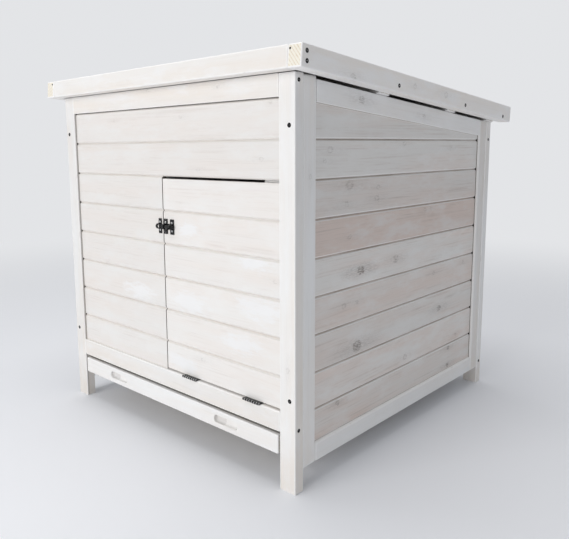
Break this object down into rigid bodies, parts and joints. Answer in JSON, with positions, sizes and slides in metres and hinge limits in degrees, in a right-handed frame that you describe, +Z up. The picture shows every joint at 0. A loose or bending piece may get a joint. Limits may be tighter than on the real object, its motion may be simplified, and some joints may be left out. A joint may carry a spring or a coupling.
{
  "type": "nest box",
  "caption": "Raised timber nest box: framed board walls, a lean-to roof, a drop-down door on butt hinges held by a barrel bolt, and a pull-out tray.",
  "frame": {"origin": "on the ground, under the middle of the roof's outline", "axes": "+Z up, the door faces -Y, the door is on the +X half of that face"},
  "size_m": [0.656, 0.6804, 0.645],
  "materials": {
    "frame_timber": "matte whitewash",
    "board_timber": "matte whitewash",
    "tray_ply": "matte",
    "black_iron": "satin"
  },
  "bodies": {
    "carcass": {"leg_front_left": "frame_timber", "leg_front_right": "frame_timber", "leg_back_left": "frame_timber", "leg_back_right": "frame_timber", "front_top_rail": "frame_timber", "front_bottom_rail": "frame_timber", "front_boards_upper": "board_timber", "front_boards_left": "board_timber", "door_mullion": "frame_timber", "door_stop": "frame_timber", "hinge_rail_leaves": "black_iron", "hinge_pins": "black_iron", "bolt_keeper": "black_iron", "side_left_front_stile": "frame_timber", "side_left_back_stile": "frame_timber", "side_left_top_rail": "frame_timber", "side_left_bottom_rail": "frame_timber", "side_left_boards": "board_timber", "side_right_front_stile": "frame_timber", "side_right_back_stile": "frame_timber", "side_right_top_rail": "frame_timber", "side_right_bottom_rail": "frame_timber", "side_right_boards": "board_timber", "back_top_rail": "frame_timber", "back_bottom_rail": "frame_timber", "back_boards": "board_timber", "tray_runners": "frame_timber", "roof_front_fascia": "frame_timber", "roof_left_fascia": "frame_timber", "roof_right_fascia": "frame_timber", "roof_battens": "frame_timber", "roof_boards": "board_timber"},
    "door": {"door_boards": "board_timber", "door_battens": "frame_timber", "hinge_door_leaves": "black_iron", "bolt_plate": "black_iron"},
    "bolt": {"bolt_bar": "black_iron"},
    "tray": {"tray_front": "frame_timber", "tray_sides": "frame_timber", "tray_back": "frame_timber", "tray_bottom": "tray_ply"}
  },
  "joints": [
    {"name": "door_drop", "type": "hinge", "parent": "carcass", "child": "door", "pos_m": [0.1335, -0.32016, 0.124], "axis": [1, 0, 0], "range_deg": [0, 112]},
    {"name": "bolt_slide", "type": "slide", "parent": "door", "child": "bolt", "axis": [-1, 0, 0], "range_m": [0, 0.012]},
    {"name": "tray_slide", "type": "slide", "parent": "carcass", "child": "tray", "axis": [0, -1, 0], "range_m": [0, 0.92]}
  ]
}
